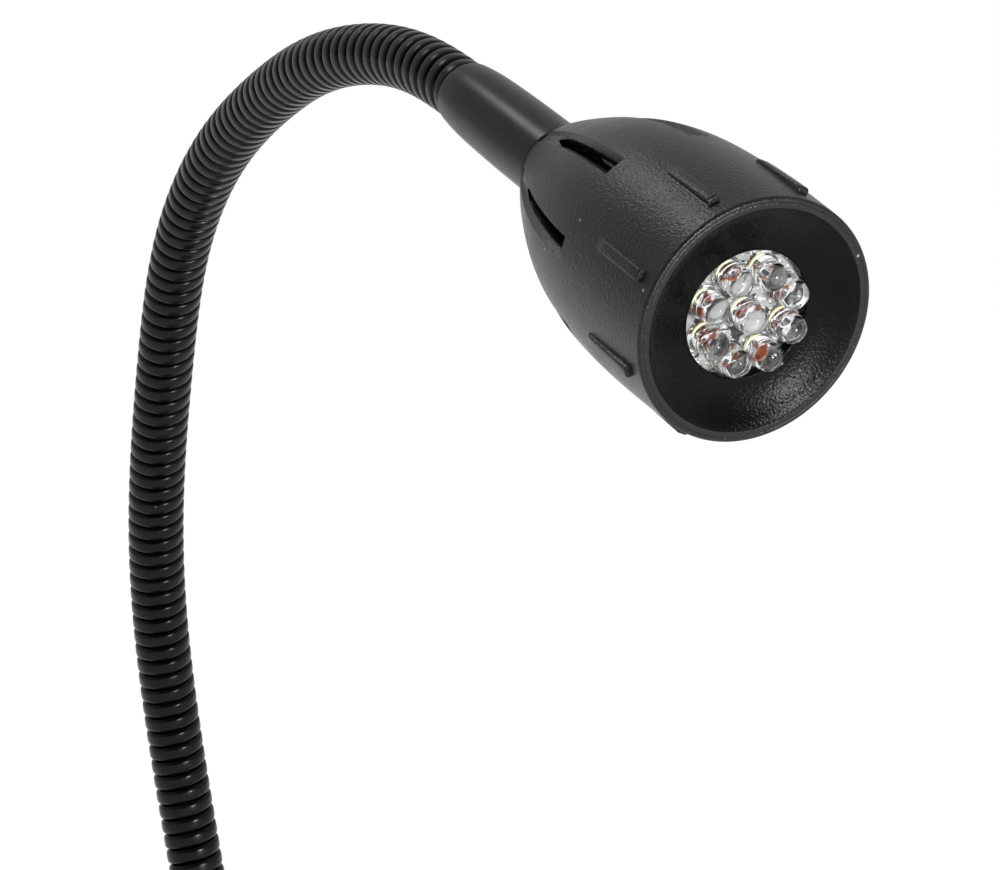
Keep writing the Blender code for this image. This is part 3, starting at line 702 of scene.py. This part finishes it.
def bezel(paint, lip_paint):
    """The dished ring round the LEDs: a rolled lip, a hollow face and a skirt in the housing."""
    skirt = [(18.6, -10.0), (20.0, -10.0), (20.0, -1.4), (20.3, -1.1)]
    lip = [(20.3, -0.07), (20.22, -0.02), (20.05, 0.0), (19.7, 0.02), (19.35, -0.03)]
    lip += [(18.95, -0.15), (18.55, -0.33)]
    dish = []
    for share in np.linspace(0, 1, 15):
        sink = DISH_DEPTH * (1 - (1 - share) ** 1.7)
        dish.append((DISH_RADIUS - DISH_WIDTH * share, DISH_FRONT - sink))
    hole = [(11.05, -2.75), (11.0, -3.0), (11.0, -4.2), (18.6, -4.2)]
    profile = skirt + lip + dish + hole
    ring = turned("bezel_ring", profile, 160, paint, HEAD, closed=True, sharp=50.0)
    ring.data.materials.append(lip_paint)
    for face in ring.data.polygons:
        middle = face.center / MM
        if math.hypot(middle.x, middle.y) > LIP_INNER and middle.z > -2.0:
            face.material_index = 1
    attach(ring, "head")
    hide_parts("bezel")


def led_places():
    places = [(0.0, 0.0)]
    for index in range(8):
        turn = math.radians(LED_RING_TURN + 45.0 * index)
        places.append((LED_RING_RADIUS * math.cos(turn), LED_RING_RADIUS * math.sin(turn)))
    return places


def led_matrix(number):
    x, y = led_places()[number]
    lean_x, lean_y = LED_LEANS[number]
    foot = Matrix.Translation(Vector((x, y, LED_BACK)) * MM)
    lean = Matrix.Rotation(math.radians(lean_x), 4, "X")
    lean = lean @ Matrix.Rotation(math.radians(lean_y), 4, "Y")
    return HEAD @ foot @ lean


def led_lens(number, paint):
    """One clear 5 mm LED casting, drawn from its back at 0."""
    centre = LED_DOME_CENTRE - LED_BACK
    dome = []
    for angle in np.linspace(90, 0, 12):
        turn = math.radians(angle)
        radius = LED_RADIUS * math.cos(turn) if angle < 90 else 0.0
        dome.append((radius, centre + LED_RADIUS * math.sin(turn)))
    seat = LED_SEAT - LED_BACK
    body = [(LED_RADIUS, seat + 0.18), (LED_RADIUS + 0.06, seat + 0.05), (LED_RADIUS + 0.18, seat)]
    body += [(2.82, seat), (LED_FLANGE_RADIUS, seat - 0.08), (LED_FLANGE_RADIUS, 0.08)]
    body += [(2.82, 0.0), (0.0, 0.0)]
    lens = turned(f"led_lens_{number + 1}", dome + body, 48, paint, led_matrix(number))
    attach(lens, "head")
    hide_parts(f"led_{number + 1}")


def led_glow(number, paint):
    """A painted glow: the crescent along one side of the flange, which gives off light where light
    catches it.
    """
    seat = LED_SEAT - LED_BACK
    points, faces, corners = [], [], 4
    turns = np.linspace(GLOW_MIDDLE - GLOW_HALF, GLOW_MIDDLE + GLOW_HALF, GLOW_STEPS + 1)
    for turn in np.radians(turns):
        share = len(points) / (corners * (GLOW_STEPS + 0.0001))
        swell = math.sqrt(max(0.0, math.sin(math.pi * share)))
        near, far = GLOW_RADIUS - 0.1 * swell, GLOW_RADIUS + 0.22 * swell
        low = seat - 0.25 * swell
        for radius, height in ((near, seat), (near, seat + 0.06), (far, seat + 0.05), (far, low)):
            points.append((radius * math.cos(turn), radius * math.sin(turn), height))
    for row in range(0, len(points) - corners, corners):
        for side in range(corners):
            there = (side + 1) % corners
            faces.append([row + side, row + there, row + corners + there, row + corners + side])
    last = len(points) - corners
    faces += [[3, 2, 1, 0], [last + side for side in range(corners)]]
    return piece(f"glow_{number}", points, faces, paint, 40.0, led_matrix(number))


def led_frame(number, paint):
    """The cup that holds the chip, the post beside it, and their two flat leads."""
    place = led_matrix(number) @ Matrix.Rotation(math.radians(70.0 * number), 4, "Z")
    profile = [(0.0, 1.7), (0.35, 1.72), (0.62, 2.15), (0.74, 2.15), (0.66, 1.5), (0.0, 1.5)]
    over_anvil = place @ Matrix.Translation(Vector((-0.35, 0, 0)) * MM)
    cup = turned("cup", profile, 20, paint, over_anvil)
    anvil = bar("anvil", (1.9, 0.6, 1.15), (-0.6, 0.0, 0.95), paint, 0.08, 1, place)
    post = bar("post", (1.0, 0.6, 1.7), (1.15, 0.0, 1.15), paint, 0.08, 1, place)
    arm = bar("arm", (0.9, 0.45, 0.35), (0.85, 0.0, 1.85), paint, 0.06, 1, place)
    return [cup, anvil, post, arm]


def leds(paints):
    glows, frames = [], []
    for number in range(9):
        led_lens(number, paints["clear"])
        # Each LED gets a painted glow crescent, a mesh that shines by itself.
        glows.append(led_glow(number, paints["glow"]))
        frames += led_frame(number, paints["frame"])
    for name, parts in (("led_painted_glow_rims", glows), ("led_lead_frames", frames)):
        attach(joined(name, parts), "head")


# Radius and height down the outside of the sleeve.
SLEEVE_TAPER = (
    (6.9, -66.0), (6.85, -72.0), (6.75, -80.5), (6.6, -87.0), (6.4, -92.0), (6.15, -95.3),
    (5.9, -97.5),
)


def sleeve(paint):
    """The tapered sleeve that joins the neck to the housing."""
    taper = smooth_route([(*row, 0.0) for row in SLEEVE_TAPER], 6)
    outside = [(5.2, -53.5), (5.2, -65.4), (6.75, -65.4), (6.87, -65.55)]
    outside += [(row[0], row[1]) for row in taper]
    mouth = [(5.84, -98.0), (5.74, -98.36), (5.62, SLEEVE_START), (5.52, -98.42), (5.46, -98.2)]
    socket = [(5.46, -94.5), (4.9, -94.0), (4.9, -83.5), (3.0, -83.5), (3.0, -53.5)]
    tube = turned("neck_sleeve", outside + mouth + socket, 128, paint, HEAD, closed=True)
    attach(tube, "head")
    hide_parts("sleeve")


# ---------------------------------------------------------------- neck

# Points that the neck's middle line goes through between the collar and the sleeve.
NECK_BENDS = (
    (-2.0, 1.0, 100.0),
    (-10.5, 6.0, 167.5),
    (-21.0, -4.0, 223.5),
    (-27.5, -27.5, 267.5),
    (-30.5, -46.0, 293.0),
    (-31.5, -70.5, 313.0),
    (-31.5, -97.0, 325.5),
    (-31.0, -125.0, 334.0),
    (-28.5, -152.0, 336.5),
)
NECK_STUB = 20.0
NECK_JOINTS = 10
NECK_RADIUS = 5.4
NECK_HIDDEN_RADIUS = 4.65
# How far the turns keep their full width inside the collar and inside the sleeve.
IN_COLLAR = 1.5
IN_SLEEVE = 2.5
NECK_BORE = 3.1
GROOVE_DEPTH = 1.25
# The power in a turn's outline: 2 is round, and more is flatter on top.
CREST_FLATNESS = 4.5
RIBS_PER_LINK = 13
RIB_ROWS = 12
NECK_SIDES = 56
# How far short of where one piece of the skin meets the next the points either side of each joint
# are taken.
STIFF_END = 3.3


def on_head_axis(height):
    return tuple((HEAD @ Vector((0, 0, height * MM))) / MM)


class Route:
    """The neck's middle line, read by its length in millimetres from its first point."""

    def __init__(self):
        foot = [(0.0, 0.0, z) for z in (30.0, 38.0, 46.0)]
        head = [on_head_axis(SLEEVE_START + along) for along in (0.0, 7.0, 14.0)]
        self.points = smooth_route(foot + list(NECK_BENDS) + head)
        steps = np.linalg.norm(np.diff(self.points, axis=0), axis=1)
        self.lengths = np.concatenate([[0.0], np.cumsum(steps)])
        self.start, self.end = self.length_to(foot[-1]), self.length_to(head[0])
        self.link = (self.end - self.start - 2 * NECK_STUB) / (NECK_JOINTS - 1)
        self.joints = [self.start + NECK_STUB + index * self.link for index in range(NECK_JOINTS)]

    def length_to(self, point):
        nearest = np.argmin(np.linalg.norm(self.points - np.array(point), axis=1))
        return float(self.lengths[nearest])

    def at(self, lengths):
        axes = [np.interp(lengths, self.lengths, self.points[:, axis]) for axis in range(3)]
        return np.stack(axes, -1)

    def surface(self, lengths, turns, radii):
        """Points at these lengths, angles and distances from the middle line."""
        middle = self.at(lengths)
        along = self.at(lengths + 0.8) - self.at(lengths - 0.8)
        along /= np.linalg.norm(along, axis=-1, keepdims=True)
        side = np.array([1.0, 0.0, 0.0]) - along * along[..., :1]
        side /= np.linalg.norm(side, axis=-1, keepdims=True)
        up = np.cross(along, side)
        out = side * np.cos(turns)[..., None] + up * np.sin(turns)[..., None]
        return middle + radii[..., None] * out


def coil_radius(route, phase, length):
    """How far the wound neck stands from its middle line. The phase is whole in each groove.

    The turns that are out of sight, in the collar and in the sleeve, are a little slimmer.
    """
    across = 2 * (phase % 1.0) - 1
    rise = np.sqrt(np.clip(1 - np.abs(across) ** CREST_FLATNESS, 0, 1))
    coil = NECK_RADIUS - GROOVE_DEPTH * (1 - rise)
    beyond = np.maximum(route.start - IN_COLLAR - length, length - route.end - IN_SLEEVE)
    inside = np.clip(beyond / 0.8, 0, 1)
    return coil + inside * (np.minimum(coil, NECK_HIDDEN_RADIUS) - coil)


def neck_skin(route, number, first, last, pitch, paint):
    """One stretch of the wound neck, from turn first to turn last, around one joint."""
    rows = (1 - np.cos(np.linspace(0, math.pi, RIB_ROWS + 1)[:-1])) / 2
    origin = route.joints[0] - pitch * RIBS_PER_LINK / 2 - pitch / 2
    turns = 2 * math.pi * np.arange(NECK_SIDES) / NECK_SIDES

    def shell(steps, radius_of):
        """Points and their numbers, for a wall whose rows follow the winding."""
        total = (last - first) * len(steps)
        row = np.arange(total + len(steps) + 1)
        phase = first + row // len(steps) + steps[row % len(steps)]
        phase = phase[:, None] + np.zeros(NECK_SIDES)
        lengths = origin + pitch * (phase + np.arange(NECK_SIDES) / NECK_SIDES)
        return total, len(steps), route.surface(lengths, turns, radius_of(phase, lengths))

    outer = shell(rows, lambda phase, lengths: coil_radius(route, phase, lengths))
    inner = shell(np.array([0.0]), lambda phase, lengths: np.full_like(lengths, NECK_BORE))
    points, numbers = [], {}

    def number_of(wall, row, column):
        total, per_turn, spots = (outer, inner)[wall]
        if column == NECK_SIDES:
            row, column = row + per_turn, 0
        key = (wall, row, column)
        if key not in numbers:
            numbers[key] = len(points)
            points.append(spots[row, column])
        return numbers[key]

    faces = []

    def add_face(first_line, second_line, column):
        line = [number_of(*first_line, column), number_of(*first_line, column + 1)]
        faces.append(line + [number_of(*second_line, column + 1), number_of(*second_line, column)])

    for wall, (total, _, _) in enumerate((outer, inner)):
        for row in range(total):
            for column in range(NECK_SIDES):
                add_face((wall, row), (wall, row + 1), column)
    for outer_row, inner_row in ((0, 0), (outer[0], inner[0])):
        for column in range(NECK_SIDES):
            add_face((0, outer_row), (1, inner_row), column)
        step = [number_of(0, outer_row + row, 0) for row in range(RIB_ROWS + 1)]
        faces.append(step + [number_of(1, inner_row + 1, 0), number_of(1, inner_row, 0)])
    skin = piece(f"neck_skin_{number}", points, faces, paint, 70.0)

    joint = route.joints[number - 1]
    reach = route.link / 2 - STIFF_END
    nodes = ["neck_root"] + [f"neck_segment_{index}" for index in range(1, NECK_JOINTS)]
    ends = [tuple(route.at(joint + way * reach) * MM) for way in (-1, 1)]
    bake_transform(skin)
    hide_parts(nodes[number - 1])
    if number == NECK_JOINTS:
        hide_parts("neck_tip")


def neck(paint):
    route = Route()
    pitch = route.link / RIBS_PER_LINK
    for number in range(1, NECK_JOINTS + 1):
        first, last = (number - 1) * RIBS_PER_LINK, number * RIBS_PER_LINK
        if number == 1:
            first -= 2
        if number == NECK_JOINTS:
            last += 2
        neck_skin(route, number, first, last, pitch, paint)


# ---------------------------------------------------------------- foot

FOOT_TOP = 24.0
FOOT_RADIUS = 80.0
SHOULDER_RADIUS = 62.0
SHOULDER_START = 14.0
PAD_GROOVES = (14.0, 26.0, 38.0, 50.0, 62.0)
SWITCH_Y = -42.0
ROCKER_HALF = 7.7
ROCKER_TILT = 7.0
JACK_HEIGHT = 9.8


def set_down(name, node, obj):
    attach(obj, "foot")
    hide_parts(node)
    obj.name = name


def jack_place(y, turn):
    """A place on the jack's axis, turned by this many degrees about X."""
    place = Matrix.Translation(Vector((0, y, JACK_HEIGHT)) * MM)
    return place @ Matrix.Rotation(math.radians(turn), 4, "X")


def foot_cover(paint):
    """The heavy foot's cover: flat top, swept shoulder, short upright side."""
    outside = [(7.0, FOOT_TOP), (61.0, FOOT_TOP)]
    for angle in np.linspace(84, 0, 16):
        turn = math.radians(angle)
        radius = SHOULDER_RADIUS + (FOOT_RADIUS - SHOULDER_RADIUS) * math.cos(turn)
        height = SHOULDER_START + (FOOT_TOP - SHOULDER_START) * math.sin(turn)
        outside.append((radius, height))
    outside += [(FOOT_RADIUS, 3.0), (79.8, 2.5), (79.3, 2.3), (77.6, 2.3)]
    inside = [(77.6, 14.0), (74.0, 18.5), (62.0, 21.6), (7.0, 21.6)]
    cover = turned("cover", outside + inside, 160, paint, closed=True, sharp=50.0)
    window = bar("window", (19.6, 13.6, 8.0), (0, SWITCH_Y, FOOT_TOP), paint, 0.2, 1)
    place = jack_place(FOOT_RADIUS, 90)
    port = turned("port", [(0, 8.0), (4.4, 8.0), (4.4, -8.0), (0, -8.0)], 48, paint, place)
    cut(cover, [window, port], sharp=40.0)
    set_down("foot_shell", "foot_cover", cover)


def foot_pad(paint):
    """The rubber pad under the foot, with grooves turned in its underside."""
    under = [(0.0, 0.0)]
    for radius in PAD_GROOVES:
        under += [(radius, 0.0), (radius + 0.4, 0.6), (radius + 1.6, 0.6), (radius + 2.0, 0.0)]
    under += [(75.4, 0.0), (76.0, 0.5), (76.0, 1.7), (75.7, 2.0), (0.0, 2.0)]
    set_down("rubber_pad", "foot_pad", turned("pad", under, 160, paint))


def collar(paint):
    """The turned collar that the neck stands in."""
    swept = [(9.0, 33.0), (9.6, 30.0), (11.2, 27.8), (13.2, 26.4), (13.4, 25.6), (13.4, 24.3)]
    top = [(8.25, 46.0), (8.55, 45.85), (8.7, 45.5), (8.7, 42.4)]
    groove = [(8.4, 42.1), (8.4, 41.5), (8.7, 41.2)]
    under = [(6.6, 24.3), (6.6, 15.5), (3.0, 15.5)]
    bore = [(3.0, 30.0), (4.9, 30.0), (4.9, 43.6), (5.55, 44.0), (5.55, 45.7), (5.8, 46.0)]
    profile = top + groove + rounded(swept, 1.2) + under + bore
    ring = turned("collar", profile, 96, paint, closed=True)
    set_down("turned_collar", "neck_collar", ring)


def jack(paint):
    """The round power inlet in the back of the foot."""
    block = bar("block", (9.0, 13.0, 8.6), (0, 70.0, JACK_HEIGHT), paint, 0.35)
    place = jack_place(69.7, -90)
    outside = [(0, -1.5), (4.0, -1.5), (4.0, 10.2), (3.9, 10.6), (3.7, 10.8), (0, 10.8)]
    inside = [(0, 1.8), (2.9, 1.8), (2.9, 10.3), (3.3, 10.9), (3.3, 12.0), (0, 12.0)]
    nose = turned("nose", outside, 64, paint, place)
    bore = turned("bore", inside, 64, paint, place)
    cut(block, [nose], "UNION")
    cut(block, [bore])
    set_down("power_inlet", "inlet_jack", block)


def switch_frame(paint):
    """The rounded frame that the rocker sits in."""
    top = FOOT_TOP + 0.3
    plate = bar("plate", (21.0, 15.0, 1.6), (0, SWITCH_Y, top + 0.8), paint, 0.5)
    body = bar("body", (19.0, 13.0, 11.6), (0, SWITCH_Y, top - 5.0), paint, 0.2, 1)
    well = bar("well", (16.6, 10.2, 12.0), (0, SWITCH_Y, top - 2.4), paint, 0.5)
    cut(plate, [body], "UNION")
    cut(plate, [well])
    set_down("rocker_frame", "switch_frame", plate)


def switch(paint):
    """The rocker. Its line and ring marks are handed back, for a paint of their own."""
    half, tilt = ROCKER_HALF, math.radians(ROCKER_TILT)
    rise = half * math.tan(tilt)
    across = [half * math.sin(math.radians(angle)) for angle in np.linspace(-90, 90, 25)]
    top_line = [(x, 2.55 + rise * (abs(x) / half) ** 1.5) for x in across]
    side = [(-half, 2.2), (-half, -0.8), (-2.0, -3.6), (2.0, -3.6), (half, -0.8), (half, 2.2)]
    section = top_line + rounded(side, 0.8, 3)[::-1]
    widths = ((-4.7, 0.25), (-4.62, 0.08), (-4.4, 0.0), (4.4, 0.0), (4.62, 0.08), (4.7, 0.25))
    points, count = [], len(section)
    for y, inset in widths:
        points += [(x * (1 - inset / half), y, z * (1 - inset / 6.0)) for x, z in section]
    faces = [list(range(count)), list(range((len(widths) - 1) * count, len(widths) * count))]
    for row in range(0, (len(widths) - 1) * count, count):
        for here in range(count):
            there = (here + 1) % count
            faces.append([row + here, row + there, row + count + there, row + count + here])
    turn = Matrix.Translation(Vector((0, SWITCH_Y, FOOT_TOP - 1.0)) * MM)
    turn = turn @ Matrix.Rotation(-tilt, 4, "Y")
    rocker = piece("rocker", points, faces, paint, 50.0, turn)
    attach(rocker, "rocker")
    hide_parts("switch_rocker")

    line = bar("line", (0.5, 2.4, 0.12), (4.6, 0.0, 3.0), paint, 0.05, 1, turn)
    profile = [(1.3, 3.06), (1.3, 2.94), (0.9, 2.94), (0.9, 3.06)]
    place = turn @ Matrix.Translation(Vector((-4.6, 0, 0)) * MM)
    ring = turned("ring", profile, 40, paint, place, closed=True)
    return joined("rocker_marks", [line, ring])


# ---------------------------------------------------------------- carried-over parts

NODE_PAINTS = {
    "board": ("led_board", "driver_board"),
    "steel": ("board_screw_1", "board_screw_2", "sleeve_nut", "collar_nut", "inlet_pin",
              "foot_screw_1", "foot_screw_2", "foot_screw_3"),
    "fitting": ("resistor_1", "resistor_2", "resistor_3"),
    "satin": ("board_post_1", "board_post_2", "driver_capacitor"),
    "iron": ("foot_weight", "driver_coil"),
    "plate": ("foot_plate",),
    "red": ("head_lead_red", "foot_lead_red"),
    "black": ("head_lead_black", "foot_lead_black"),
}


def paint_nodes(paints):
    for name, nodes in NODE_PAINTS.items():
        for node in nodes:
            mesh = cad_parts[node].data
            mesh.materials.clear()
            mesh.materials.append(paints[name])


# ---------------------------------------------------------------- studio

ROOM_LIGHT = 0.66
DIM_SIDE = 0.06
# How squarely a part of the room lies behind the camera where it starts and ends fading.
DIM_SIDE_FADE = (0.25, 0.95)
FLOOR_GLOW = 0.5
FLOOR_HALF = 6000.0
# Place and width in metres, and power in watts.
SOFTBOXES = {
    "overhead_softbox": ((-0.32, 0.32, 1.18), 0.26, 1.7),
    "front_softbox": ((0.26, -1.55, 0.2), 0.16, 15.0),
}


def area_light(name, place, target, width, power):
    """A square white light that faces the target."""
    lamp = bpy.data.lights.new(name, "AREA")
    lamp.shape = "RECTANGLE"
    lamp.size = lamp.size_y = width
    lamp.energy = power
    obj = bpy.data.objects.new(name, lamp)
    bpy.context.scene.collection.objects.link(obj)
    aim(obj, Vector(place), Vector(target) - Vector(place))


def surround():
    """A white room, dimmer behind the camera so that black pieces keep their dark faces."""
    world = bpy.data.worlds.new("studio_surround")
    world.use_nodes = True
    bpy.context.scene.world = world
    nodes = Nodes(world.node_tree)
    spot = nodes.node("ShaderNodeTexCoord", out="Generated")
    inputs = {0: spot, 1: -view_direction()}
    facing = nodes.node("ShaderNodeVectorMath", {"operation": "DOT_PRODUCT"}, inputs, out="Value")
    background = nodes.tree.nodes["Background"]
    strength = nodes.between(facing, *DIM_SIDE_FADE, ROOM_LIGHT, DIM_SIDE)
    nodes.feed(background.inputs["Strength"], strength)
    nodes.feed(background.inputs["Color"], (1.0, 1.0, 1.0, 1.0))


def studio():
    paint = Paint("pale_floor", Emission_Color=(1.0, 1.0, 1.0, 1.0), Emission_Strength=FLOOR_GLOW)
    clouds = paint.noise(240.0, detail=3.0)
    paint.surface(
        Base_Color=paint.blend(clouds, (0.90, 0.90, 0.90), (0.93, 0.93, 0.93)),
        Roughness=0.75 + clouds * 0.1,
    )
    side = FLOOR_HALF
    corners = [(-side, -side, 0.0), (side, -side, 0.0), (side, side, 0.0), (-side, side, 0.0)]
    piece("floor", corners, [[0, 1, 2, 3]], paint.end(paint.bump(paint.noise(3.0), 0.02)))

    surround()
    head = Vector(HEAD_CENTRE) * MM
    for name, (place, width, power) in SOFTBOXES.items():
        area_light(name, place, head, width, power)
    bpy.context.scene.view_settings.view_transform = "Standard"
    bpy.context.scene.view_settings.look = "None"


# ---------------------------------------------------------------- assembly


def build():
    make_camera()
    paints = make_paints()
    paint_nodes(paints)
    head_shell(paints["shell"])
    bezel(paints["bezel"], paints["shell"])
    leds(paints)
    sleeve(paints["satin"])
    neck(paints["neck"])
    foot_cover(paints["cover"])
    foot_pad(paints["rubber"])
    collar(paints["satin"])
    jack(paints["fitting"])
    switch_frame(paints["fitting"])
    marks = switch(paints["fitting"])
    marks.data.materials[0] = paints["board"]
    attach(marks, "rocker")
    studio()


build()
